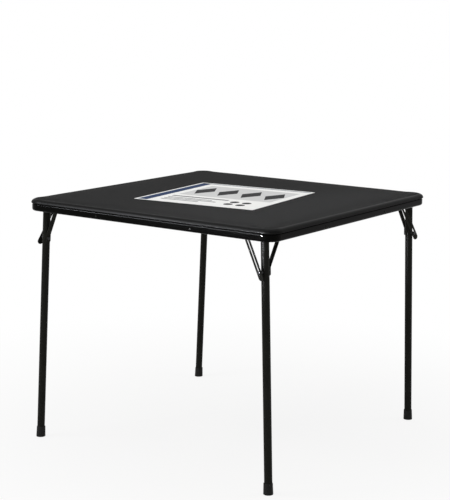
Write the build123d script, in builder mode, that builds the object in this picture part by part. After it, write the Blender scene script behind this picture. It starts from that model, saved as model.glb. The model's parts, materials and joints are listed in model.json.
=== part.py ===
from build123d import *
import os
from math import atan, atan2, cos, degrees, hypot, radians, sin

os.makedirs("parts", exist_ok=True)

# Folding card table: a padded square top on a pressed steel rail, with a folding leg at each
# corner. Millimetres, Z up, origin on the floor under the middle of the table.

# Whole table
table_width = 851.0
table_height = 711.0
corner_radius = 40.0

# Padded top, from the vinyl down to the board
vinyl_thickness = 1.0
vinyl_lap_width = 24.0
vinyl_top_round = 6.5
vinyl_under_round = 4.0
foam_thickness = 8.0
board_thickness = 4.0
board_setback = 4.5
soft_clearance = 0.3

# Steel rail, a channel open towards the middle
rail_height = 21.0
rail_wall = 1.2
rail_setback = 3.0
rail_flange_width = 20.0
rail_lip_width = 12.0
rail_top_round = 5.0
rail_under_round = 6.0

# Clips that hold the top to the rail, two on each side
clip_reach = 162.0
clip_width = 18.0
clip_thickness = 1.5
clip_bend_radius = 5.0
clip_gap = 0.1
clip_drop = 14.0
clip_depth = 17.0
clip_rivet_drop = 10.2
screw_setback = 15.0
screw_radius = 1.7
screw_head_radius = 3.6
screw_head_height = 1.8
screw_bite = 3.0
rivet_radius = 2.0
rivet_head_radius = 3.4
rivet_head_height = 1.2
rivet_head_taper = 30.0
fit_clearance = 0.05

# Leg and its hinge
leg_diameter = 22.0
leg_wall = 1.2
leg_reach_out = 32.0
leg_end_above_hinge = 7.0
hinge_from_end_edge = 50.3
hinge_from_side_edge = 38.0
hinge_above_rail_foot = 6.5
fold_turn = 15.0
pin_radius = 3.0
pin_head_radius = 4.6
pin_head_height = 1.6
spacer_radius = 6.0
spacer_gap = 0.15

# Lock brace with its slot
brace_offset = 21.0
brace_thickness = 2.0
brace_width = 17.0
brace_tail = 22.0
brace_pivot_ahead = 50.0
brace_gap = 0.4
slot_width = 4.6
slot_start = 14.0
stud_drop = 90.0
stud_gap = 0.3
stud_boss_radius = 4.6
stud_clearance = 0.08
stud_head_radius = 4.8
stud_head_height = 1.8
bolt_radius = 2.5

# Side brace between the leg and the inner end of the hinge pin
side_brace_width = 14.0
side_brace_thickness = 2.0
side_brace_reach = 44.0
side_brace_foot = 11.0
side_brace_straight = 12.0
side_brace_top = 9.0
side_brace_bend = 5.0

# Corner bracket
bracket_thickness = 2.0
bracket_inset = 8.0
bracket_length = 118.0
bracket_width = 96.0
bracket_leg_room = 3.5
bracket_long_shares = (1 / 2, 5 / 6)
bracket_short_shares = (1 / 3, 2 / 3)
ear_lobe = 8.0
ear_gap = 0.5

# Floor cap
cap_wall = 1.5
cap_flare = 0.5
cap_height = 30.0
cap_floor = 3.2
cap_round = 2.0

# Heights and half widths that follow from the sizes above
half_width = table_width / 2
pad_height = 2 * vinyl_thickness + foam_thickness + board_thickness
rail_top = table_height - pad_height
rail_foot = rail_top - rail_height
board_foot = rail_top + vinyl_thickness
board_top = board_foot + board_thickness
flange_under = rail_top - rail_wall
rail_face = half_width - rail_setback
rail_inner_face = rail_face - rail_wall
leg_radius = leg_diameter / 2

# Leg geometry that follows from the sizes above
hinge_height = rail_foot + hinge_above_rail_foot
splay = degrees(atan(leg_reach_out / hinge_height))
leg_length = hypot(leg_reach_out, hinge_height)
brace_face = brace_offset + brace_thickness / 2
brace_back = brace_offset - brace_thickness / 2
ear_face = brace_back - brace_gap
ear_back = ear_face - bracket_thickness
inner_ear_back = side_brace_reach + side_brace_thickness / 2 + ear_gap

# The locked brace runs from its pivot to the stud on the leg
stud_along = -stud_drop * sin(radians(splay)) - brace_pivot_ahead
stud_below = -stud_drop * cos(radians(splay))
locked_reach = hypot(stud_along, stud_below)
folded_reach = stud_drop - brace_pivot_ahead
brace_angle = degrees(atan2(stud_below, stud_along))
print("splay", splay, "brace angle", brace_angle, "reach", locked_reach, folded_reach)

# Corners, each a quarter turn on from the front right one
corners = {"front_right": 0, "front_left": 270, "back_left": 180, "back_right": 90}
sides = (0, 90, 180, 270)


def turned(plane, turn):
    """The same plane after a turn about the table's middle."""
    return Plane(Location((0, 0, 0), (0, 0, turn)) * plane.location)


def shifted(plane, shift, tilt=(0, 0, 0)):
    """The same plane after a shift and a turn about its own axes."""
    return Plane(plane.location * Location(shift, tilt))


def hinge_plane(turn):
    """Plane at a leg's hinge: X the way the leg folds, Y towards the outside, Z up."""
    fold_way = (-cos(radians(fold_turn)), sin(radians(fold_turn)), 0)
    place = (half_width - hinge_from_end_edge, -half_width + hinge_from_side_edge, hinge_height)
    return turned(Plane(origin=place, x_dir=fold_way, z_dir=(0, 0, 1)), turn)


def leg_plane(turn):
    """Plane at the hinge whose Z runs up the splayed leg."""
    return shifted(hinge_plane(turn), (0, 0, 0), (0, splay, 0))


def across(plane, outward):
    """Plane on edge, this far outward: X the way the leg folds, Y up."""
    return shifted(plane, (0, outward, 0), (90, 0, 0))


def beside(plane):
    """Plane on edge whose X points inward along the hinge pin, and Y up."""
    return shifted(across(plane, 0), (0, 0, 0), (0, -90, 0))


def rounded_slab(width, radius, foot, height, top_round=0, under_round=0):
    """A square slab with rounded corners and rounded rims."""
    with BuildPart() as slab:
        with BuildSketch(Plane.XY.offset(foot)):
            RectangleRounded(width, width, radius)
        extrude(amount=height)
        if top_round:
            fillet(slab.edges().group_by(Axis.Z)[-1], top_round)
        if under_round:
            fillet(slab.edges().group_by(Axis.Z)[0], under_round)
    return slab.part


def screw_places():
    """Where the screws come up into the board, two on each side."""
    reach = half_width - screw_setback
    places = [(Vector(shift, -reach), turn) for turn in sides for shift in (-clip_reach, clip_reach)]
    return [place.rotate(Axis.Z, turn) for place, turn in places]


def upright_rods(places, radius, foot, height):
    """Upright round rods, for shanks and for the holes that they go through."""
    with BuildPart() as rods:
        with BuildSketch(Plane.XY.offset(foot)):
            with Locations(*places):
                Circle(radius)
        extrude(amount=height)
    return rods.part


def upright_holes(places, radius, foot, height):
    """Cuts a clearance hole for each upright shank out of the part that is being built."""
    add(upright_rods(places, radius + fit_clearance, foot, height), mode=Mode.SUBTRACT)


def save(part, name):
    part.label = name
    export_step(part, f"parts/{name}.step")


# Vinyl cover: a thin shell round the foam and board, turned in under the board's edge
cover_inside = rounded_slab(
    table_width - 2 * vinyl_thickness, corner_radius - vinyl_thickness, board_foot,
    pad_height - 2 * vinyl_thickness, vinyl_top_round - vinyl_thickness, vinyl_under_round - vinyl_thickness)
lap_opening = table_width - 2 * vinyl_lap_width
with BuildPart() as vinyl_cover:
    add(rounded_slab(table_width, corner_radius, rail_top, pad_height, vinyl_top_round, vinyl_under_round))
    add(cover_inside, mode=Mode.SUBTRACT)
    with BuildSketch(Plane.XY.offset(rail_top)):
        RectangleRounded(lap_opening, lap_opening, corner_radius - vinyl_lap_width)
    extrude(amount=vinyl_thickness, mode=Mode.SUBTRACT)
    upright_holes(screw_places(), screw_radius, rail_top, vinyl_thickness)
save(vinyl_cover.part, "vinyl_cover")

# Foam pad: fills the cover above the board
foam_setback = vinyl_thickness + soft_clearance
with BuildPart() as foam_pad:
    add(rounded_slab(table_width - 2 * foam_setback, corner_radius - foam_setback, board_top,
                     foam_thickness, vinyl_top_round - vinyl_thickness))
save(foam_pad.part, "foam_pad")

# Top board: hardboard with blind pilot holes for the screws
with BuildPart() as top_board:
    add(rounded_slab(table_width - 2 * board_setback, corner_radius - board_setback, board_foot,
                     board_thickness))
    upright_holes(screw_places(), screw_radius, board_foot, screw_bite)
save(top_board.part, "top_board")


def rivet_places():
    """Where the corner brackets are riveted to the rail's flange."""
    flange_middle = rail_setback + rail_flange_width / 2
    setbacks = [(share * bracket_length, flange_middle) for share in bracket_long_shares]
    setbacks += [(flange_middle, share * bracket_width) for share in bracket_short_shares]
    places = [Vector(half_width - from_end, -half_width + from_side) for from_end, from_side in setbacks]
    return [place.rotate(Axis.Z, turn) for turn in corners.values() for place in places]


def clip_planes():
    """Upright planes square to the rail at each clip: X inward from the rail's inner face, Y up."""
    planes = []
    for turn in sides:
        for shift in (-clip_reach, clip_reach):
            place = (shift, -rail_inner_face, flange_under)
            planes.append(turned(Plane(origin=place, x_dir=(0, 1, 0), z_dir=(1, 0, 0)), turn))
    return planes


def clip_rivet_plane(plane):
    """Plane on the rail's outer face at a clip, facing outward."""
    outward = -plane.x_dir
    place = plane.origin + outward * rail_wall - Vector(0, 0, clip_rivet_drop)
    return Plane(origin=place, x_dir=plane.z_dir, z_dir=outward)


# Rail: one pressed steel ring, open towards the middle, with a flange above and a lip below
rail_inside = rounded_slab(
    2 * rail_inner_face, corner_radius - rail_setback - rail_wall, rail_foot + rail_wall,
    rail_height - 2 * rail_wall, rail_top_round - rail_wall, rail_under_round - rail_wall)
flange_opening = 2 * (rail_face - rail_flange_width)
lip_opening = 2 * (rail_face - rail_lip_width)
with BuildPart() as rail_frame:
    add(rounded_slab(2 * rail_face, corner_radius - rail_setback, rail_foot, rail_height,
                     rail_top_round, rail_under_round))
    add(rail_inside, mode=Mode.SUBTRACT)
    with BuildSketch(Plane.XY.offset(rail_foot)):
        RectangleRounded(lip_opening, lip_opening, corner_radius - rail_lip_width)
    extrude(amount=rail_wall, mode=Mode.SUBTRACT)
    with BuildSketch(Plane.XY.offset(flange_under)):
        RectangleRounded(flange_opening, flange_opening, corner_radius - rail_flange_width)
    extrude(amount=rail_wall, mode=Mode.SUBTRACT)
    upright_holes(screw_places(), screw_radius, flange_under, rail_wall)
    upright_holes(rivet_places(), rivet_radius, flange_under, rail_wall)
    for plane in clip_planes():
        with BuildSketch(clip_rivet_plane(plane)):
            Circle(rivet_radius + fit_clearance)
        extrude(amount=-rail_wall, mode=Mode.SUBTRACT)
save(rail_frame.part, "rail_frame")

# Board clips: bent tabs in the channel, riveted to its wall and screwed up into the board
with BuildPart() as board_clips:
    for plane in clip_planes():
        with BuildSketch(plane.offset(-clip_width / 2)):
            with BuildLine():
                corner_line = FilletPolyline(
                    (clip_gap + clip_thickness / 2, -clip_drop),
                    (clip_gap + clip_thickness / 2, -clip_thickness / 2),
                    (clip_depth, -clip_thickness / 2),
                    radius=clip_bend_radius)
            trace(corner_line, clip_thickness)
        extrude(amount=clip_width)
    upright_holes(screw_places(), screw_radius, flange_under - clip_thickness, clip_thickness)
    for plane in clip_planes():
        with BuildSketch(clip_rivet_plane(plane)):
            Circle(rivet_radius + fit_clearance)
        extrude(amount=-rail_wall - clip_gap - clip_thickness, mode=Mode.SUBTRACT)
save(board_clips.part, "board_clips")

# Clip rivets: a low domed head outside the rail and a set tail inside
rivet_grip = rail_wall + clip_gap + clip_thickness
with BuildPart() as clip_rivets:
    for plane in clip_planes():
        outer = clip_rivet_plane(plane)
        with BuildSketch(outer.offset(-rivet_grip - rivet_head_height)):
            Circle(rivet_radius)
        extrude(amount=rivet_grip + rivet_head_height)
        with BuildSketch(outer):
            Circle(rivet_head_radius)
        extrude(amount=rivet_head_height, taper=rivet_head_taper)
        with BuildSketch(outer.offset(-rivet_grip - rivet_head_height)):
            Circle(rivet_head_radius)
        extrude(amount=rivet_head_height)
save(clip_rivets.part, "clip_rivets")

# Board screws: pan heads under the clips, shanks up into the board
screw_foot = flange_under - clip_thickness - screw_head_height
with BuildPart() as board_screws:
    add(upright_rods(screw_places(), screw_head_radius, screw_foot, screw_head_height))
    add(upright_rods(screw_places(), screw_radius, screw_foot, board_foot + screw_bite - screw_foot))
save(board_screws.part, "board_screws")

# Bracket rivets: short rivets, flush on top of the rail's flange
rivet_foot = flange_under - bracket_thickness - rivet_head_height
with BuildPart() as bracket_rivets:
    add(upright_rods(rivet_places(), rivet_head_radius, rivet_foot, rivet_head_height))
    add(upright_rods(rivet_places(), rivet_radius, rivet_foot, rail_top - rivet_foot))
save(bracket_rivets.part, "bracket_rivets")


def build_ear(plane, outward, lobes):
    """One ear of the bracket: a plate on edge, hung from the corner plate, round these pin centres."""
    ear_top = flange_under - bracket_thickness - hinge_height
    with BuildPart() as ear:
        with BuildSketch(across(plane, outward)):
            with BuildLine():
                FilletPolyline(
                    (-ear_lobe, ear_top), (-ear_lobe, -hinge_above_rail_foot),
                    (lobes[-1] + ear_lobe, -hinge_above_rail_foot), (lobes[-1] + ear_lobe, ear_top),
                    radius=hinge_above_rail_foot)
                Line((lobes[-1] + ear_lobe, ear_top), (-ear_lobe, ear_top))
            make_face()
            with Locations(*[(lobe, 0) for lobe in lobes]):
                Circle(pin_radius + fit_clearance, mode=Mode.SUBTRACT)
        extrude(amount=bracket_thickness)
    return ear.part


def build_bracket(turn):
    """Plate under the rail's flange with a gap for the leg, and an ear down each side of it."""
    plate_foot = flange_under - bracket_thickness
    plate_middle = (half_width - bracket_inset - bracket_length / 2,
                    -half_width + bracket_inset + bracket_width / 2, plate_foot)
    hinge = hinge_plane(turn)
    room_back = leg_radius + bracket_leg_room
    room_out = leg_radius + bracket_leg_room / 2
    with BuildPart() as bracket:
        with BuildSketch(turned(Plane(origin=plate_middle), turn)):
            RectangleRounded(bracket_length, bracket_width, corner_radius - bracket_inset)
        extrude(amount=bracket_thickness)
        with BuildSketch(hinge.offset(plate_foot - hinge_height)):
            with Locations((bracket_length - room_back, (room_out - inner_ear_back) / 2)):
                Rectangle(2 * bracket_length, room_out + inner_ear_back)
        extrude(amount=bracket_thickness, mode=Mode.SUBTRACT)
        add(build_ear(hinge, ear_face, (0, brace_pivot_ahead)))
        add(build_ear(hinge, -inner_ear_back, (0,)))
        upright_holes(rivet_places(), rivet_radius, plate_foot, bracket_thickness)
    return bracket.part


def build_pin(plane, outer_end, inner_end):
    """A pin across the fold with a head beyond each end."""
    with BuildPart() as pin:
        with BuildSketch(across(plane, outer_end)):
            Circle(pin_radius)
        extrude(amount=outer_end - inner_end)
        for head_end in (outer_end + pin_head_height, inner_end):
            with BuildSketch(across(plane, head_end)):
                Circle(pin_head_radius)
            extrude(amount=pin_head_height)
    return pin.part


def build_spacer(turn):
    """Nylon spacer on the hinge pin, between the outer ear and the leg."""
    length = ear_back - leg_radius - spacer_gap
    with BuildPart() as spacer:
        with BuildSketch(across(hinge_plane(turn), ear_back)):
            Circle(spacer_radius)
            Circle(pin_radius + fit_clearance, mode=Mode.SUBTRACT)
        extrude(amount=length)
    return spacer.part


def build_leg_tube(turn):
    """Round steel tube with cross holes for the hinge pin and the stud bolt."""
    plane = leg_plane(turn)
    with BuildPart() as tube:
        with BuildSketch(plane.offset(cap_floor - leg_length)):
            Circle(leg_radius)
            Circle(leg_radius - leg_wall, mode=Mode.SUBTRACT)
        extrude(amount=leg_length - cap_floor + leg_end_above_hinge)
        for down, radius in ((0, pin_radius), (stud_drop, bolt_radius)):
            with BuildSketch(across(plane.offset(-down), leg_diameter)):
                Circle(radius + fit_clearance)
            extrude(amount=2 * leg_diameter, mode=Mode.SUBTRACT)
    return tube.part


def build_side_brace(turn):
    """Bent strip from the leg's inner side up to the inner end of the hinge pin."""
    plane = leg_plane(turn)
    foot_across = leg_radius + spacer_gap + side_brace_thickness / 2
    with BuildPart() as strip:
        with BuildSketch(beside(plane)):
            with BuildLine():
                middle_line = FilletPolyline(
                    (foot_across, -stud_drop - side_brace_foot),
                    (foot_across, -stud_drop + side_brace_straight),
                    (side_brace_reach, -side_brace_straight),
                    (side_brace_reach, side_brace_top), radius=side_brace_bend)
            trace(middle_line, side_brace_thickness)
        extrude(amount=side_brace_width / 2, both=True)
        ends = strip.edges().filter_by(lambda edge: abs(edge.length - side_brace_thickness) < fit_clearance)
        fillet(ends, side_brace_width / 2 - side_brace_thickness / 2)
        for down, radius in ((0, pin_radius), (stud_drop, bolt_radius)):
            with BuildSketch(across(plane.offset(-down), 0)):
                Circle(radius + fit_clearance)
            extrude(amount=2 * side_brace_reach, mode=Mode.SUBTRACT)
    return strip.part


def build_stud_bolt(turn):
    """Bolt through leg and side brace, with a long boss that reaches out to the lock brace."""
    plane = leg_plane(turn).offset(-stud_drop)
    boss_end = brace_back - stud_gap
    boss_start = leg_radius + spacer_gap
    strip_back = boss_start + side_brace_thickness
    with BuildPart() as bolt:
        with BuildSketch(across(plane, boss_end)):
            Circle(stud_boss_radius)
        extrude(amount=boss_end - boss_start)
        with BuildSketch(across(plane, boss_start)):
            Circle(bolt_radius)
        extrude(amount=boss_start + strip_back)
        with BuildSketch(across(plane, -strip_back)):
            Circle(stud_boss_radius)
        extrude(amount=pin_head_height)
    return bolt.part


def build_floor_cap(turn):
    """Moulded cap on the leg's foot, cut flat where it stands on the floor."""
    socket_radius = leg_radius + fit_clearance
    rim_radius = socket_radius + cap_wall
    foot_radius = rim_radius + cap_flare
    below_floor = foot_radius * sin(radians(splay))
    foot = across(leg_plane(turn).offset(-leg_length), 0)
    with BuildPart() as cap:
        with BuildSketch(foot):
            with BuildLine():
                FilletPolyline(
                    (0, -below_floor), (foot_radius, -below_floor), (rim_radius, cap_height),
                    radius=cap_round)
                Polyline((rim_radius, cap_height), (socket_radius, cap_height), (socket_radius, cap_floor),
                         (0, cap_floor), (0, -below_floor))
            make_face()
        revolve(axis=Axis(foot.origin, foot.y_dir))
        split(bisect_by=Plane.XY, keep=Keep.TOP)
    return cap.part


def brace_plane(turn, outward):
    """Plane on edge at the lock brace's pivot: X along the locked brace, towards its stud."""
    return shifted(across(hinge_plane(turn), outward), (brace_pivot_ahead, 0, 0), (0, 0, brace_angle))


def build_lock_brace(turn):
    """Flat brace with a long slot that the leg's stud slides in."""
    tail_centre = locked_reach + brace_tail - brace_width / 2
    with BuildPart() as brace:
        with BuildSketch(brace_plane(turn, brace_face)):
            with Locations((tail_centre / 2, 0)):
                SlotCenterToCenter(tail_centre, brace_width)
            with Locations(((slot_start + locked_reach) / 2, 0)):
                SlotCenterToCenter(locked_reach - slot_start, slot_width, mode=Mode.SUBTRACT)
            Circle(pin_radius + fit_clearance, mode=Mode.SUBTRACT)
        extrude(amount=brace_thickness)
    return brace.part


def build_brace_pivot(turn):
    """Rivet that carries the lock brace on the bracket's outer ear."""
    ahead = shifted(hinge_plane(turn), (brace_pivot_ahead, 0, 0))
    return build_pin(ahead, brace_face + brace_gap / 2, ear_back)


def build_lock_stud(turn):
    """Headed stud that runs in the slot."""
    head_foot = brace_face + stud_gap / 2
    with BuildPart() as stud:
        with BuildSketch(brace_plane(turn, head_foot + stud_head_height)):
            with Locations((locked_reach, 0)):
                Circle(stud_head_radius)
        extrude(amount=stud_head_height)
        with BuildSketch(brace_plane(turn, head_foot)):
            with Locations((locked_reach, 0)):
                Circle(slot_width / 2 - stud_clearance)
        extrude(amount=head_foot - brace_back)
    return stud.part


# The pieces that each corner has, in nodes of their own
hinge_pin_end = inner_ear_back + bracket_thickness
for corner, turn in corners.items():
    save(build_bracket(turn), f"corner_bracket_{corner}")
    save(build_pin(hinge_plane(turn), ear_face, -hinge_pin_end), f"hinge_pin_{corner}")
    save(build_spacer(turn), f"hinge_spacer_{corner}")
    save(build_brace_pivot(turn), f"brace_pivot_{corner}")
    save(build_leg_tube(turn), f"leg_tube_{corner}")
    save(build_side_brace(turn), f"side_brace_{corner}")
    save(build_stud_bolt(turn), f"stud_bolt_{corner}")
    save(build_floor_cap(turn), f"floor_cap_{corner}")
    save(build_lock_brace(turn), f"lock_brace_{corner}")
    save(build_lock_stud(turn), f"lock_stud_{corner}")
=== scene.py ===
# %% [markdown]
# # A folding card table
# The frame holds the solid parts of the table at their real size, such as the board, the steel rail, the
# brackets, the pins and the four folding legs. This lesson gives them the look of the real table. The soft
# top is modelled again as padded vinyl, the pressed parts get softened edges, the floor caps are spun again
# with a rolled rim, a printed card is laid on the top, and each part gets a finish like its real material.

# %% Load the frame
import json
import math

import bmesh
import bpy
from mathutils import Matrix, Vector


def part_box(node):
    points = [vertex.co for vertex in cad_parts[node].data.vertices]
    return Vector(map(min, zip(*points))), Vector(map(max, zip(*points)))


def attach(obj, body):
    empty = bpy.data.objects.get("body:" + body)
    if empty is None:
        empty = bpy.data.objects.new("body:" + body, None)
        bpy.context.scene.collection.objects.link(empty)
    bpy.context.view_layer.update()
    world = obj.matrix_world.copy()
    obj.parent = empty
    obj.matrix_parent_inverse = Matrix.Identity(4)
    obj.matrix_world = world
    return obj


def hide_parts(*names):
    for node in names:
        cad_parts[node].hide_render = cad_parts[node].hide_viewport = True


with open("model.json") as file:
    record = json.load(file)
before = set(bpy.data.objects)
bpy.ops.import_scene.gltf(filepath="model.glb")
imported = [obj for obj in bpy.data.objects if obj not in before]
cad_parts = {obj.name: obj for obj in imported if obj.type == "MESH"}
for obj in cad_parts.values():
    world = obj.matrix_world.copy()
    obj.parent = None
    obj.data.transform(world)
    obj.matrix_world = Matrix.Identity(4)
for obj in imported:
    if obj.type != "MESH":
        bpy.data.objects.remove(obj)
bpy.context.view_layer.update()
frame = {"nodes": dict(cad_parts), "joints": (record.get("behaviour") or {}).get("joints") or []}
nodes = frame["nodes"]
joints = {joint["name"]: joint for joint in frame["joints"]}
corners = ("front_right", "front_left", "back_left", "back_right")
mm = 0.001

# %% [markdown]
# ## The camera
# The table was photographed from a little above its top, with the front right corner nearest. The place,
# the turn and the lens are those that bring the outline of a table this size closest to the photograph's.

# %% Camera
camera_place = Vector((2.256, -3.232, 1.294))
view_azimuth = math.radians(35.18)
view_elevation = math.radians(10.73)
view_roll = math.radians(0.69)
focal_length = 97.45
sensor_side = 36.0

back = Vector((math.sin(view_azimuth) * math.cos(view_elevation),
               -math.cos(view_azimuth) * math.cos(view_elevation), math.sin(view_elevation)))
level_right = Vector((0, 0, 1)).cross(back).normalized()
level_up = back.cross(level_right)
right = math.cos(view_roll) * level_right + math.sin(view_roll) * level_up
up = back.cross(right)

camera = bpy.data.objects.new("camera", bpy.data.cameras.new("camera"))
bpy.context.scene.collection.objects.link(camera)
camera.data.lens = focal_length
camera.data.sensor_width = sensor_side
camera.matrix_world = Matrix.Translation(camera_place) @ Matrix((right, up, back)).transposed().to_4x4()
bpy.context.scene.camera = camera
bpy.context.scene.view_settings.view_transform = "Standard"
print("camera", round(camera_place.length, 2), "m from the middle of the floor")

# %% [markdown]
# ## Colours and shader nodes
# A colour is easiest to write as a hex value picked on a screen, but a shader works with linear light, so
# one function turns the first into the second. A second small function adds a node with its settings, its
# plain values and its links, so each material below reads from its patterns down to its shader.

# %% Helpers for materials
def linear(hex_colour):
    """A screen colour such as "#3a3a3b" as linear red, green, blue and alpha."""
    shares = [int(hex_colour[start:start + 2], 16) / 255 for start in (1, 3, 5)]
    light = [share / 12.92 if share <= 0.04045 else ((share + 0.055) / 1.055) ** 2.4 for share in shares]
    return light + [1.0]


def add_node(tree, kind, settings=None, values=None, links=None):
    """Adds one node: its settings, the plain values of its sockets, and what its sockets are linked from."""
    node = tree.nodes.new(kind)
    for name, value in (settings or {}).items():
        setattr(node, name, value)
    for name, value in (values or {}).items():
        node.inputs[name].default_value = value
    for name, socket in (links or {}).items():
        tree.links.new(socket, node.inputs[name])
    return node


def new_material(name):
    """A material with nothing but its output, and the tree that its nodes go into."""
    material = bpy.data.materials.new(name)
    material.use_nodes = True
    material.node_tree.nodes.clear()
    return material, material.node_tree


def per_metre(size_in_mm):
    """The scale of a texture whose features are this many millimetres across."""
    return 1 / (size_in_mm * mm)

# %% [markdown]
# ## Padded vinyl
# The top is PVC film on a cloth backing, embossed with a fine leather grain. It is a dielectric with a dull
# sheen, dark grey rather than black under light. Where it is pulled tight round the edge the grain is
# stretched flat, and it shines more there. Round the edge and under it its colour is also painted darker,
# as painted shade. The real grain is probably under a millimetre, too fine to show, so it is drawn at two
# millimetres.

# %% Vinyl
pore_share = 0.4
patch_share = 0.08


def make_vinyl():
    material, tree = new_material("embossed black vinyl")
    coords = add_node(tree, "ShaderNodeTexCoord").outputs["Object"]
    tight_and_shaded = add_node(tree, "ShaderNodeAttribute", {"attribute_name": "tight_and_shaded"}).outputs["Fac"]
    cloudy = add_node(tree, "ShaderNodeTexNoise", values={"Scale": per_metre(180), "Detail": 3.0},
                      links={"Vector": coords}).outputs["Fac"]
    padded = add_node(tree, "ShaderNodeMix", {"data_type": "RGBA"},
                      {"A": linear("#232323"), "B": linear("#292929")}, {"Factor": cloudy})
    # Where the skin is tight, round the edge and under it, the base colour is painted darker, as painted
    # shade.
    colour = add_node(tree, "ShaderNodeMix", {"data_type": "RGBA"}, {"B": linear("#1a1a1a")},
                      {"Factor": tight_and_shaded, "A": padded.outputs["Result"]})
    grain = add_node(tree, "ShaderNodeTexVoronoi", {"feature": "SMOOTH_F1"},
                     {"Scale": per_metre(2.0), "Smoothness": 0.6}, {"Vector": coords}).outputs["Distance"]
    pores = add_node(tree, "ShaderNodeTexNoise", values={"Scale": per_metre(0.9), "Detail": 2.0},
                     links={"Vector": coords}).outputs["Fac"]
    relief = add_node(tree, "ShaderNodeMath", {"operation": "MULTIPLY_ADD"}, {1: pore_share},
                      {0: pores, 2: grain}).outputs[0]
    strength = add_node(tree, "ShaderNodeMapRange", values={"To Min": 0.55, "To Max": 0.15},
                        links={"Value": tight_and_shaded}).outputs[0]
    bump = add_node(tree, "ShaderNodeBump", values={"Distance": 0.12 * mm},
                    links={"Height": relief, "Strength": strength}).outputs[0]
    sheen = add_node(tree, "ShaderNodeMapRange", values={"To Min": 0.8, "To Max": 0.3},
                     links={"Value": tight_and_shaded}).outputs[0]
    patchy = add_node(tree, "ShaderNodeMath", {"operation": "MULTIPLY_ADD"}, {1: patch_share},
                      {0: cloudy, 2: sheen}).outputs[0]
    shader = add_node(tree, "ShaderNodeBsdfPrincipled", values={"Specular IOR Level": 0.025},
                      links={"Base Color": colour.outputs["Result"], "Roughness": patchy, "Normal": bump})
    add_node(tree, "ShaderNodeOutputMaterial", links={"Surface": shader.outputs[0]})
    return material


vinyl = make_vinyl()
print(vinyl.name, "made of", len(vinyl.node_tree.nodes), "nodes")

# %% [markdown]
# ## Powder coat
# The rail, the brackets, the legs and the braces are steel under a baked black powder coat, and the small
# rivets are coated too. The powder melts into a slightly wavy skin that makers call orange peel, with waves
# of about one and a half millimetres. The rail, which shows most, has the glossier grade with flatter waves,
# and the rest a satin one. Both have a little haze at grazing angles. The coat hides the metal, so the shader
# is a dielectric and not a metal.

# %% Powder coat
def make_powder_coat(name, dark, light, roughness_low, roughness_high, peel_strength):
    material, tree = new_material(name)
    coords = add_node(tree, "ShaderNodeTexCoord").outputs["Object"]
    peel = add_node(tree, "ShaderNodeTexNoise", values={"Scale": per_metre(1.5), "Detail": 1.0},
                    links={"Vector": coords}).outputs["Fac"]
    bump = add_node(tree, "ShaderNodeBump", values={"Distance": 0.03 * mm, "Strength": peel_strength},
                    links={"Height": peel}).outputs[0]
    handled = add_node(tree, "ShaderNodeTexNoise", values={"Scale": per_metre(45), "Detail": 4.0},
                       links={"Vector": coords}).outputs["Fac"]
    roughness = add_node(tree, "ShaderNodeMapRange",
                         values={"To Min": roughness_low, "To Max": roughness_high},
                         links={"Value": handled}).outputs[0]
    colour = add_node(tree, "ShaderNodeMix", {"data_type": "RGBA"},
                      {"A": linear(dark), "B": linear(light)}, {"Factor": handled})
    shader = add_node(tree, "ShaderNodeBsdfPrincipled",
                      values={"Specular IOR Level": 0.03, "Sheen Weight": 0.05, "Sheen Roughness": 0.3},
                      links={"Base Color": colour.outputs["Result"], "Roughness": roughness, "Normal": bump})
    add_node(tree, "ShaderNodeOutputMaterial", links={"Surface": shader.outputs[0]})
    return material


gloss_coat = make_powder_coat("gloss black powder coat", dark="#070706", light="#0b0b0a",
                              roughness_low=0.1, roughness_high=0.16, peel_strength=0.2)
satin_coat = make_powder_coat("satin black powder coat", dark="#22221f", light="#2d2d29",
                              roughness_low=0.32, roughness_high=0.42, peel_strength=0.4)
print(gloss_coat.name, "and", satin_coat.name)

# %% [markdown]
# ## Plastics
# The floor caps are moulded polythene, a soft waxy plastic that stays a shade lighter than the paint, and
# the spacers on the hinge pins are black nylon. Both have the faint grain of a spark eroded mould, so one
# function makes the two with their own colour and roughness.

# %% Moulded plastics
def make_plastic(name, dark, light, roughness_low, roughness_high):
    material, tree = new_material(name)
    coords = add_node(tree, "ShaderNodeTexCoord").outputs["Object"]
    grain = add_node(tree, "ShaderNodeTexNoise", values={"Scale": per_metre(0.8), "Detail": 3.0},
                     links={"Vector": coords}).outputs["Fac"]
    scuffs = add_node(tree, "ShaderNodeTexNoise", values={"Scale": per_metre(14), "Detail": 5.0},
                      links={"Vector": coords}).outputs["Fac"]
    bump = add_node(tree, "ShaderNodeBump", values={"Distance": 0.05 * mm, "Strength": 0.4},
                    links={"Height": grain}).outputs[0]
    roughness = add_node(tree, "ShaderNodeMapRange",
                         values={"To Min": roughness_low, "To Max": roughness_high},
                         links={"Value": scuffs}).outputs[0]
    colour = add_node(tree, "ShaderNodeMix", {"data_type": "RGBA"},
                      {"A": linear(dark), "B": linear(light)}, {"Factor": scuffs})
    shader = add_node(tree, "ShaderNodeBsdfPrincipled", values={"Specular IOR Level": 0.07},
                      links={"Base Color": colour.outputs["Result"], "Roughness": roughness, "Normal": bump})
    add_node(tree, "ShaderNodeOutputMaterial", links={"Surface": shader.outputs[0]})
    return material


polythene = make_plastic("moulded black polythene", dark="#252524", light="#30302f",
                         roughness_low=0.48, roughness_high=0.62)
nylon = make_plastic("moulded black nylon", dark="#181818", light="#202020",
                     roughness_low=0.40, roughness_high=0.52)
print(polythene.name, "and", nylon.name)

# %% [markdown]
# ## Bare and plated metal
# The hinge pins, pivots, bolts and studs are steel with a black oxide finish, which stays metallic but is
# nearly as dark as the paint. The clips and screws under the top are zinc plated and bright. A metal's colour
# is the colour of its reflection. Fine turning marks go round a real pin, too small to see here, so both get
# no more than a soft cloudy roughness and relief.

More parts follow.
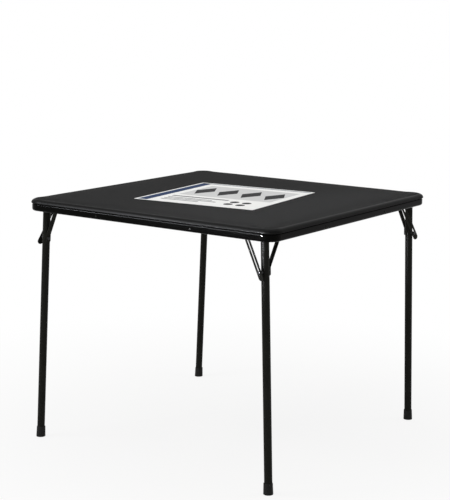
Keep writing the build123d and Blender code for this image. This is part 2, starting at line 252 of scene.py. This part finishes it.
# %% Metals
def make_metal(name, dark, light, roughness_low, roughness_high):
    material, tree = new_material(name)
    coords = add_node(tree, "ShaderNodeTexCoord").outputs["Object"]
    cloudy = add_node(tree, "ShaderNodeTexNoise", values={"Scale": per_metre(6), "Detail": 5.0},
                      links={"Vector": coords}).outputs["Fac"]
    roughness = add_node(tree, "ShaderNodeMapRange",
                         values={"To Min": roughness_low, "To Max": roughness_high},
                         links={"Value": cloudy}).outputs[0]
    colour = add_node(tree, "ShaderNodeMix", {"data_type": "RGBA"},
                      {"A": linear(dark), "B": linear(light)}, {"Factor": cloudy})
    bump = add_node(tree, "ShaderNodeBump", values={"Distance": 0.02 * mm, "Strength": 0.3},
                    links={"Height": cloudy}).outputs[0]
    shader = add_node(tree, "ShaderNodeBsdfPrincipled", values={"Metallic": 1.0},
                      links={"Base Color": colour.outputs["Result"], "Roughness": roughness, "Normal": bump})
    add_node(tree, "ShaderNodeOutputMaterial", links={"Surface": shader.outputs[0]})
    return material


black_oxide = make_metal("black oxide steel", dark="#2a2a2b", light="#454547",
                         roughness_low=0.30, roughness_high=0.48)
zinc = make_metal("zinc plated steel", dark="#a9aaa8", light="#c6c7c4",
                  roughness_low=0.25, roughness_high=0.42)
print(black_oxide.name, "and", zinc.name)

# %% [markdown]
# ## Hardboard
# Under the pad is hardboard, pressed wood fibre. Its lower face keeps the print of the wire screen that it
# was pressed on, a fine square grid, and fibres of a lighter brown show in it.

# %% Hardboard
wire_scale = per_metre(2.0) / math.tau


def make_hardboard():
    material, tree = new_material("screen backed hardboard")
    coords = add_node(tree, "ShaderNodeTexCoord").outputs["Object"]
    fibres = add_node(tree, "ShaderNodeTexNoise",
                      values={"Scale": per_metre(3.5), "Detail": 8.0, "Roughness": 0.7},
                      links={"Vector": coords}).outputs["Fac"]
    patches = add_node(tree, "ShaderNodeTexNoise", values={"Scale": per_metre(120), "Detail": 2.0},
                       links={"Vector": coords}).outputs["Fac"]
    both = add_node(tree, "ShaderNodeMath", {"operation": "MULTIPLY"}, links={0: fibres, 1: patches})
    spread = add_node(tree, "ShaderNodeMapRange", values={"From Min": 0.12, "From Max": 0.42},
                      links={"Value": both.outputs[0]}).outputs[0]
    colour = add_node(tree, "ShaderNodeMix", {"data_type": "RGBA"},
                      {"A": linear("#3d2a1c"), "B": linear("#6b4d35")}, {"Factor": spread})
    wires = [add_node(tree, "ShaderNodeTexWave", {"bands_direction": way}, {"Scale": wire_scale},
                      {"Vector": coords}).outputs["Fac"] for way in ("X", "Y")]
    weave = add_node(tree, "ShaderNodeMath", {"operation": "MULTIPLY"}, links={0: wires[0], 1: wires[1]})
    bump = add_node(tree, "ShaderNodeBump", values={"Distance": 0.25 * mm, "Strength": 0.6},
                    links={"Height": weave.outputs[0]}).outputs[0]
    shader = add_node(tree, "ShaderNodeBsdfPrincipled", values={"Roughness": 0.82, "Specular IOR Level": 0.3},
                      links={"Base Color": colour.outputs["Result"], "Normal": bump})
    add_node(tree, "ShaderNodeOutputMaterial", links={"Surface": shader.outputs[0]})
    return material


hardboard = make_hardboard()
print(hardboard.name, "made of", len(hardboard.node_tree.nodes), "nodes")

# %% [markdown]
# ## Finishes on the parts that stay
# The board, the rail, the tubes, the spacers, the clips, the screws and the small rivets have the right shape
# already, so each keeps its mesh and only takes its finish.

# %% Finish the carried over parts
kept_finishes = {
    "top_board": hardboard, "rail_frame": gloss_coat, "clip_rivets": satin_coat,
    "bracket_rivets": satin_coat, "board_clips": zinc, "board_screws": zinc,
}
for corner in corners:
    kept_finishes[f"leg_tube_{corner}"] = satin_coat
    kept_finishes[f"hinge_spacer_{corner}"] = nylon

for node, material in kept_finishes.items():
    mesh = nodes[node].data
    mesh.materials.clear()
    mesh.materials.append(material)
print(len(kept_finishes), "parts keep their mesh")

# %% [markdown]
# ## A finished piece
# Each new piece is drawn in a bmesh and then becomes an object at the origin, with its place in its mesh. It
# is shaded smooth, with the edges sharper than thirty degrees kept sharp. Then it is tied to the body
# that it moves with. Where it replaces solids, these are hidden.

# %% Helper that turns a bmesh into a piece
sharp_angle = math.radians(30)


def finish_piece(bm, name, material, body, replaced=()):
    bmesh.ops.recalc_face_normals(bm, faces=bm.faces)
    mesh = bpy.data.meshes.new(name)
    bm.to_mesh(mesh)
    bm.free()
    mesh.materials.append(material)
    mesh.polygons.foreach_set("use_smooth", [True] * len(mesh.polygons))
    mesh.set_sharp_from_angle(angle=sharp_angle)
    piece = bpy.data.objects.new(name, mesh)
    bpy.context.scene.collection.objects.link(piece)
    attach(piece, body)
    if replaced:
        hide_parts(*replaced)
    return piece

# %% [markdown]
# ## The padded top
# Vinyl is pulled over foam and board and turned in under the board's edge. It could be a slab with a bevel,
# but a slab looks hard. Here a square grid has its corners drawn in to quarter circles, and its border is
# extruded down round the edge, in under the board and back over it, which closes the skin with a pocket for
# the board. The skin is then blown up a little as cloth, the way the foam fills it.

# %% Sizes of the padded top
vinyl_low, vinyl_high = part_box("vinyl_cover")
board_low, board_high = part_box("top_board")
top_half = vinyl_high.x
top_level = vinyl_high.z
foot_level = vinyl_low.z
corner_radius = 40 * mm
edge_round = 14 * mm
edge_drop = 10.5 * mm
under_round = 3.5 * mm
lap_width = 23.5 * mm
board_gap = 0.25 * mm
grid_cells = 84
round_steps = 6
# How tight each ring of the edge is also sets how much darker its colour is painted, as painted shade.
edge_tightness_and_shade, under_tightness_and_shade, slack = 1.0, 0.6, 0.0
crown_limit = 1.6 * mm
print("top", round(2 * top_half / mm), "mm square,", round((top_level - foot_level) / mm, 1), "mm deep")

# %% Draw the skin
def outward_at(place, straight):
    """The way out from the rim of a square with rounded corners."""
    inner = Vector((max(-straight, min(straight, place.x)), max(-straight, min(straight, place.y)), 0))
    return (Vector((place.x, place.y, 0)) - inner).normalized()


def edge_profile():
    """Steps from the flat top round the edge and in under it: how far out, how far down, and how much pull
    and painted shade.
    """
    turns = [step / round_steps * math.pi / 2 for step in range(1, round_steps + 1)]
    wall_end = top_level - foot_level - under_round
    over = [(edge_round * math.sin(turn), edge_drop * (1 - math.cos(turn)), edge_tightness_and_shade) for turn in turns]
    under = [(edge_round - under_round * (1 - math.cos(turn)), wall_end + under_round * math.sin(turn),
              under_tightness_and_shade) for turn in turns]
    return over + under


def pocket_profile():
    """Steps that close the skin round the board: in under it, up to it, back out and over it."""
    board_out = board_high.x + board_gap - (top_half - edge_round)
    lap_in = edge_round - lap_width
    below, above = top_level - board_low.z + board_gap, top_level - board_high.z - board_gap
    return [(lap_in, top_level - foot_level, slack), (lap_in, below, slack), (board_out, below, slack),
            (board_out, above, slack), (lap_in, above, slack)]


def draw_top_skin():
    flat_half = top_half - edge_round
    straight = top_half - corner_radius
    bm = bmesh.new()
    tight_and_shaded = bm.verts.layers.float.new("tight_and_shaded")
    bmesh.ops.create_grid(bm, x_segments=grid_cells, y_segments=grid_cells, size=flat_half)
    for vert in bm.verts:
        over_x, over_y = abs(vert.co.x) - straight, abs(vert.co.y) - straight
        if over_x > 0 and over_y > 0:
            draw = max(over_x, over_y) / math.hypot(over_x, over_y)
            vert.co.x = math.copysign(straight + over_x * draw, vert.co.x)
            vert.co.y = math.copysign(straight + over_y * draw, vert.co.y)
        vert.co.z = top_level
    border = [edge for edge in bm.edges if edge.is_boundary]
    start = {vert: (vert.co.copy(), outward_at(vert.co, straight))
             for edge in border for vert in edge.verts}
    pinned = []
    for out, down, pull_and_shade in edge_profile() + pocket_profile():
        made = bmesh.ops.extrude_edge_only(bm, edges=border)["geom"]
        border = [item for item in made if isinstance(item, bmesh.types.BMEdge)
                  and item.verts[0] not in start and item.verts[1] not in start]
        older = {vert: edge.other_vert(vert) for rim_edge in border for vert in rim_edge.verts
                 for edge in vert.link_edges if edge.other_vert(vert) in start}
        start = {vert: start[old] for vert, old in older.items()}
        for vert, (place, outward) in start.items():
            vert.co = place + outward * out - Vector((0, 0, down))
            vert[tight_and_shaded] = pull_and_shade
        if down >= edge_drop:
            pinned.extend(start)
    bmesh.ops.triangle_fill(bm, use_beauty=True, edges=border)
    return bm, pinned


skin, pinned_verts = draw_top_skin()
skin.verts.index_update()
pinned_places = [vert.index for vert in pinned_verts]
cushion = finish_piece(skin, "padded_top", vinyl, "root", ("vinyl_cover", "foam_pad"))
print("padded top", len(cushion.data.polygons), "faces,", len(pinned_places), "points held")

# %% [markdown]
# ## Foam pressure
# The skin is held where it turns under the edge, and the foam pushes on the rest. A cloth simulation with a
# small pressure and no gravity gives the slight crown and the full edge of a new pad. How far a point may
# move is capped, because eight millimetres of foam can't swell by more than a millimetre or two.

# %% Blow up the skin
def swell(piece, held, pressure, last_frame, limit):
    """Runs the cloth on a piece and keeps its result, with each point's move capped."""
    group = piece.vertex_groups.new(name="held")
    group.add(held, 1.0, "REPLACE")
    rest = [vert.co.copy() for vert in piece.data.vertices]
    cloth = piece.modifiers.new("cloth", "CLOTH")
    cloth.settings.vertex_group_mass = "held"
    cloth.settings.quality = 3
    cloth.settings.mass = 0.4
    cloth.settings.tension_stiffness = 40
    cloth.settings.compression_stiffness = 40
    cloth.settings.bending_stiffness = 8
    cloth.settings.use_pressure = True
    cloth.settings.uniform_pressure_force = pressure
    cloth.settings.effector_weights.gravity = 0
    cloth.point_cache.frame_start = 1
    cloth.point_cache.frame_end = last_frame
    for step in range(1, last_frame + 1):
        bpy.context.scene.frame_set(step)
    swollen = piece.evaluated_get(bpy.context.evaluated_depsgraph_get()).data
    moves = [swollen.vertices[index].co - place for index, place in enumerate(rest)]
    piece.modifiers.remove(cloth)
    piece.vertex_groups.remove(group)
    bpy.context.scene.frame_set(1)
    for vert, place, move in zip(piece.data.vertices, rest, moves):
        vert.co = place + move.normalized() * limit * (1 - math.exp(-move.length / limit))
    print("the pad swelled by up to", round(max(move.length for move in moves) / mm, 2), "mm before the cap")


swell(cushion, pinned_places, pressure=4.0, last_frame=20, limit=crown_limit)
smoother = cushion.modifiers.new("subdivision", "SUBSURF")
smoother.levels = 1
smoother.render_levels = 1

# %% [markdown]
# ## Softened edges on the pressed parts
# Sheared and pressed steel never has a knife edge, and the coat rounds it further, so each edge catches a
# thin line of light. A copy of the part has its triangles merged into whole faces, and a small bevel goes
# round every sharp edge. The same is done to the bolts, and to the pins, pivots and studs with a wider
# bevel, which domes their heads as a riveting tool does.

# %% Softened copies
plate_edge = 0.45 * mm
head_edge = 1.1 * mm
weld_distance = 0.002 * mm
flat_angle = math.radians(0.5)
bevel_angle = math.radians(35)
bevel_steps = 3
softened_parts = {
    "corner_bracket": ("pressed_bracket", satin_coat, "root", "painted_steel", plate_edge),
    "side_brace": ("bent_side_brace", satin_coat, "leg", "painted_steel", plate_edge),
    "lock_brace": ("slotted_lock_brace", satin_coat, "brace", "painted_steel", plate_edge),
    "hinge_pin": ("domed_hinge_pin", black_oxide, "root", "zinc_steel", head_edge),
    "brace_pivot": ("domed_brace_pivot", black_oxide, "root", "zinc_steel", head_edge),
    "stud_bolt": ("domed_stud_bolt", black_oxide, "leg", "zinc_steel", plate_edge),
    "lock_stud": ("domed_lock_stud", black_oxide, "stud", "zinc_steel", head_edge),
}


def soften(node, name, material, body, width):
    """Makes a copy of a part with its sharp edges rounded by this width."""
    bm = bmesh.new()
    bm.from_mesh(nodes[node].data)
    bmesh.ops.remove_doubles(bm, verts=bm.verts, dist=weld_distance)
    bmesh.ops.dissolve_limit(bm, angle_limit=flat_angle, verts=bm.verts, edges=bm.edges)
    piece = finish_piece(bm, name, material, body, (node,))
    rounding = piece.modifiers.new("bevel", "BEVEL")
    rounding.width = width
    rounding.segments = bevel_steps
    rounding.limit_method = "ANGLE"
    rounding.angle_limit = bevel_angle


for corner in corners:
    for node, (name, material, moves_with, slot, width) in softened_parts.items():
        body = moves_with if moves_with == "root" else f"{moves_with}_{corner}"
        soften(f"{node}_{corner}", f"{name}_{corner}", material, body, width)
print(len(softened_parts) * len(corners), "parts softened")

# %% [markdown]
# ## Floor caps
# Each foot wears a moulded cap. The solid has its size and its flat, and the real one also has a thin rolled
# rim at its mouth and a rounded heel. It is a turned shape, so half its outline is spun round the leg's axis,
# and what reaches below the floor is cut off flat, as on the real cap.

# %% Spin the caps
cap_outer = 13.4 * mm
cap_mouth = 12.55 * mm
cap_bore = 11.1 * mm
cap_height = 30 * mm
cap_floor = 3 * mm
rim_round = 0.8 * mm
heel_round = 2.2 * mm
cap_below_floor = 2 * mm
cap_weld = 0.001 * mm
heel_start, heel_steps, rim_steps, spin_steps = -60, 5, 8, 64


def arc_points(centre_x, centre_z, radius, start, end, steps):
    """Points on an arc, from one angle to another in degrees."""
    turns = [math.radians(start + (end - start) * step / steps) for step in range(steps + 1)]
    return [(centre_x + radius * math.cos(turn), centre_z + radius * math.sin(turn)) for turn in turns]


def cap_outline():
    """Half the section of a cap, from the middle of its foot out and up to its mouth, and down its bore."""
    outline = [(0, -cap_below_floor), (cap_outer - heel_round, -cap_below_floor)]
    outline += arc_points(cap_outer - heel_round, 0, heel_round, start=heel_start, end=0, steps=heel_steps)
    outline += arc_points(cap_mouth - rim_round, cap_height - rim_round, rim_round,
                          start=0, end=180, steps=rim_steps)
    outline += [(cap_bore, cap_height - 2 * rim_round), (cap_bore, cap_floor), (0, cap_floor)]
    return outline


for corner in corners:
    hinge = Vector(joints[f"leg_fold_{corner}"]["pos_m"])
    cap_low, cap_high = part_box(f"floor_cap_{corner}")
    foot = Vector(((cap_low.x + cap_high.x) / 2, (cap_low.y + cap_high.y) / 2, 0))
    leg_way = (hinge - foot).normalized()
    bm = bmesh.new()
    verts = [bm.verts.new((x, 0, z)) for x, z in cap_outline()]
    edges = [bm.edges.new(pair) for pair in zip(verts, verts[1:])]
    bmesh.ops.spin(bm, geom=verts + edges, cent=(0, 0, 0), axis=(0, 0, 1), angle=math.tau, steps=spin_steps,
                   use_merge=True)
    bmesh.ops.remove_doubles(bm, verts=bm.verts, dist=cap_weld)
    bmesh.ops.transform(bm, verts=bm.verts, matrix=Matrix.Translation(foot) @
                        Vector((0, 0, 1)).rotation_difference(leg_way).to_matrix().to_4x4())
    cut = bmesh.ops.bisect_plane(bm, geom=bm.verts[:] + bm.edges[:] + bm.faces[:], plane_co=(0, 0, 0),
                                 plane_no=(0, 0, 1), clear_inner=True)
    rim = [item for item in cut["geom_cut"] if isinstance(item, bmesh.types.BMEdge)]
    bmesh.ops.holes_fill(bm, edges=rim, sides=0)
    finish_piece(bm, f"moulded_cap_{corner}", polythene, f"leg_{corner}", (f"floor_cap_{corner}",))
print(len(corners), "caps spun from", len(cap_outline()), "points")

# %% [markdown]
# ## The printed insert
# A new table carries a sheet of printed card on its top. It is thin, flat and only faintly glossy. The sheet
# is nearly square, with its corners rounded and a little thickness, and the print lies on it as thin plates
# in their own inks: bands, a pale panel, bars, diamonds and dots.

# %% Card and inks
ink_roughness = 0.5
ink_mottle = 0.05


def make_ink(name, hex_colour):
    material, tree = new_material(name)
    coords = add_node(tree, "ShaderNodeTexCoord").outputs["Object"]
    mottle = add_node(tree, "ShaderNodeTexNoise", values={"Scale": per_metre(9), "Detail": 4.0},
                      links={"Vector": coords}).outputs["Fac"]
    shine = add_node(tree, "ShaderNodeMapRange",
                     values={"To Min": ink_roughness - ink_mottle, "To Max": ink_roughness + ink_mottle},
                     links={"Value": mottle}).outputs[0]
    shader = add_node(tree, "ShaderNodeBsdfPrincipled",
                      values={"Base Color": linear(hex_colour), "Specular IOR Level": 0.02},
                      links={"Roughness": shine})
    add_node(tree, "ShaderNodeOutputMaterial", links={"Surface": shader.outputs[0]})
    return material


card_centre = Vector((-4 * mm, -23 * mm, 0))
card_width = 386 * mm
card_length = 398 * mm
card_turn = math.radians(6.2)
card_corner = 2 * mm
card_thickness = 0.35 * mm
ink_thickness = 0.04 * mm
ink_step = 0.05 * mm
card_gap = 0.1 * mm
card_level = max(vert.co.z for vert in cushion.data.vertices) + card_gap


def lay_shape(bm, centre_share, size_share, segments=4, turn=45.0):
    """Adds a flat shape to a bmesh, placed and sized by shares of the card.

    Four segments make a box, or a diamond where the turn is nought. Many make a disc.
    """
    spread = math.sqrt(2) / 2 if segments == 4 else 1 / 2
    shape = bmesh.ops.create_circle(bm, cap_ends=True, segments=segments, radius=spread)["verts"]
    bmesh.ops.rotate(bm, verts=shape, matrix=Matrix.Rotation(math.radians(turn), 3, "Z"))
    bmesh.ops.scale(bm, verts=shape, vec=(size_share[0] * card_width, size_share[1] * card_length, 1))
    bmesh.ops.translate(bm, verts=shape, vec=((centre_share[0] - 0.5) * card_width,
                                              (centre_share[1] - 0.5) * card_length, 0))


def lay_on_top(bm, level):
    """Turns what was drawn flat at the origin to where the card lies on the pad."""
    bmesh.ops.transform(bm, verts=bm.verts, matrix=Matrix.Translation(card_centre + Vector((0, 0, level))) @
                        Matrix.Rotation(card_turn, 4, "Z"))


def thicken(bm, thickness):
    """Raises a flat outline to a closed plate of this thickness."""
    sides = bmesh.ops.extrude_face_region(bm, geom=bm.faces[:], use_keep_orig=True)
    raised = [item for item in sides["geom"] if isinstance(item, bmesh.types.BMVert)]
    bmesh.ops.translate(bm, verts=raised, vec=(0, 0, thickness))


card = bmesh.new()
lay_shape(card, (0.5, 0.5), (1, 1))
bmesh.ops.bevel(card, geom=card.verts[:], offset=card_corner, offset_type="OFFSET", segments=4, profile=0.5,
                affect="VERTICES", material=-1)
thicken(card, card_thickness)
lay_on_top(card, card_level)
finish_piece(card, "insert_card", make_ink("coated card", "#f8f8f6"), "root")
print("card", round(card_width / mm), "by", round(card_length / mm), "mm")

# %% Print on the card
# A kind of shape is its number of segments and its turn in degrees.
box, diamond, disc = (4, 45.0), (4, 0.0), (32, 0.0)
diamond_share = (0.11, 0.24)
dot_share = (0.07, 0.074)
panel_shapes = [((0.55, 0.62), (0.78, 0.5), *box)]
band_shapes = [((0.06, 0.5), (0.08, 0.96), *box), ((0.5, 0.965), (0.96, 0.02), *box)]
bar_shapes = [((0.4, 0.29), (0.48, 0.035), *box), ((0.35, 0.22), (0.38, 0.022), *box),
              ((0.38, 0.17), (0.44, 0.022), *box), ((0.32, 0.12), (0.32, 0.022), *box)]
diamond_shapes = [((across, 0.62), diamond_share, *diamond) for across in (0.25, 0.45, 0.65, 0.85)]
dot_shapes = [((across, along), dot_share, *disc) for along in (0.24, 0.14) for across in (0.72, 0.82)]
print_layers = {
    "insert_panel": (make_ink("pale grey ink", "#d4d4d4"), 1, panel_shapes),
    "insert_band": (make_ink("navy ink", "#122c52"), 1, band_shapes),
    "insert_bars": (make_ink("grey ink", "#77777a"), 1, bar_shapes),
    "insert_diamonds": (make_ink("dark ink", "#1e1e20"), 2, diamond_shapes),
    "insert_dots": (make_ink("black ink", "#19191a"), 1, dot_shapes),
}
for name, (ink, layer, shapes) in print_layers.items():
    printed = bmesh.new()
    for centre_share, size_share, segments, turn in shapes:
        lay_shape(printed, centre_share, size_share, segments, turn)
    thicken(printed, ink_thickness)
    lay_on_top(printed, card_level + card_thickness + (layer - 1) * ink_step)
    finish_piece(printed, name, ink, "root")
print("card at", round(card_level / mm, 2), "mm")

# %% [markdown]
# ## Floor and backdrop
# The table stands on a white sweep. The camera and the reflections see the floor and the world as white, and
# only a part of the floor's own shading is mixed in, so a faint shadow stays under the table.

# %% Floor and world
seen_rays = ("Is Camera Ray", "Is Glossy Ray", "Is Transmission Ray")
floor_white_share = 0.88
shade_from, shade_to = 0.5, 1.6
ambient_level = 0.22
floor_reach = 30
floor_sink = 0.2 * mm
white_light = (1, 1, 1, 1)


def seen_directly(tree):
    """One where a ray comes from the camera, a reflection or through glass, and nought elsewhere."""
    path = add_node(tree, "ShaderNodeLightPath")
    total = path.outputs[seen_rays[0]]
    for ray in seen_rays[1:]:
        total = add_node(tree, "ShaderNodeMath", {"operation": "MAXIMUM"},
                         links={0: total, 1: path.outputs[ray]}).outputs[0]
    return total


def make_floor():
    material, tree = new_material("white paper sweep")
    paper = add_node(tree, "ShaderNodeBsdfDiffuse", values={"Color": linear("#f4f4f2")})
    white = add_node(tree, "ShaderNodeEmission", values={"Color": white_light, "Strength": 1.0})
    coords = add_node(tree, "ShaderNodeTexCoord").outputs["Object"]
    away = add_node(tree, "ShaderNodeVectorMath", {"operation": "LENGTH"}, links={0: coords}).outputs["Value"]
    whiter = add_node(tree, "ShaderNodeMapRange", {"interpolation_type": "SMOOTHSTEP"},
                      {"From Min": shade_from, "From Max": shade_to, "To Min": floor_white_share},
                      {"Value": away}).outputs[0]
    share = add_node(tree, "ShaderNodeMath", {"operation": "MULTIPLY"},
                     links={0: seen_directly(tree), 1: whiter}).outputs[0]
    mixed = add_node(tree, "ShaderNodeMixShader", links={0: share, 1: paper.outputs[0], 2: white.outputs[0]})
    add_node(tree, "ShaderNodeOutputMaterial", links={"Surface": mixed.outputs[0]})
    return material


sweep = bmesh.new()
bmesh.ops.create_grid(sweep, x_segments=1, y_segments=1, size=floor_reach)
bmesh.ops.translate(sweep, verts=sweep.verts, vec=(0, 0, -floor_sink))
floor_mesh = bpy.data.meshes.new("floor")
sweep.to_mesh(floor_mesh)
sweep.free()
floor_mesh.materials.append(make_floor())
floor = bpy.data.objects.new("floor", floor_mesh)
bpy.context.scene.collection.objects.link(floor)

world = bpy.data.worlds.new("studio")
world.use_nodes = True
world.node_tree.nodes.clear()
bpy.context.scene.world = world
ambient = add_node(world.node_tree, "ShaderNodeBackground",
                   values={"Color": white_light, "Strength": ambient_level})
backdrop = add_node(world.node_tree, "ShaderNodeBackground", values={"Color": white_light, "Strength": 1.0})
chosen = add_node(world.node_tree, "ShaderNodeMixShader",
                  links={0: seen_directly(world.node_tree), 1: ambient.outputs[0], 2: backdrop.outputs[0]})
add_node(world.node_tree, "ShaderNodeOutputWorld", links={"Surface": chosen.outputs[0]})
print("floor", 2 * floor_reach, "m across")

# %% [markdown]
# ## Lamps
# A large soft lamp overhead lights the top, and two softboxes, at the front left and at the back right, give
# the legs and the edges their shape. The backdrop is white to a reflection as well, so black paint can have
# very little gloss before it turns grey. The thin lines of light along the edges come from two bright lamps
# instead, which are seen in reflections alone: a long strip for the left side, and a low shorter one, with a
# grid that keeps most of it off the legs, for the spot beside the front corner.

# %% Softboxes
def add_softbox(name, place, aim, size, radiance, tint, only_in_reflections=False, spread=180):
    """A rectangular lamp: its size in metres, its radiance in watts for each square metre and steradian.

    A spread under 180 degrees stands for a grid in front of it, which hides it from the parts beside its
    aim.
    """
    lamp = bpy.data.lights.new(name, "AREA")
    lamp.shape = "RECTANGLE"
    lamp.size, lamp.size_y = size
    lamp.energy = radiance * math.pi * size[0] * size[1]
    if spread < 180:
        half = math.radians(spread / 2)
        lamp.spread = 2 * half
        lamp.energy *= (math.tan(half) - half) / math.tan(half)
    lamp.color = linear(tint)[:3]
    holder = bpy.data.objects.new(name, lamp)
    bpy.context.scene.collection.objects.link(holder)
    holder.location = place
    holder.rotation_euler = (Vector(aim) - Vector(place)).to_track_quat("-Z", "Y").to_euler()
    holder.visible_diffuse = not only_in_reflections
    holder.visible_camera = False


add_softbox("overhead", place=(0.0, 0.2, 3.4), aim=(0, 0, 0.7), size=(3.0, 3.0), radiance=1.6,
            tint="#ffffff")
add_softbox("left_softbox", place=(-1.75, -1.85, 2.95), aim=(0, -0.4, 0.7), size=(1.3, 0.9), radiance=9,
            tint="#ffffff")
add_softbox("left_strip", place=(-1.4, -2.2, 1.95), aim=(0.1, -0.4, 0.7), size=(1.4, 0.4), radiance=90,
            tint="#f2f4fa", only_in_reflections=True)
add_softbox("corner_strip", place=(-0.8, -3.03, 1.12), aim=(0.3, -0.36, 0.9), size=(0.6, 0.4),
            radiance=22000, tint="#f6f7fb", only_in_reflections=True, spread=10)
add_softbox("back_softbox", place=(2.3, 1.9, 3.2), aim=(0.4, 0.2, 0.7), size=(0.9, 0.7), radiance=5,
            tint="#ffffff")
print(len(bpy.data.lights), "lamps")
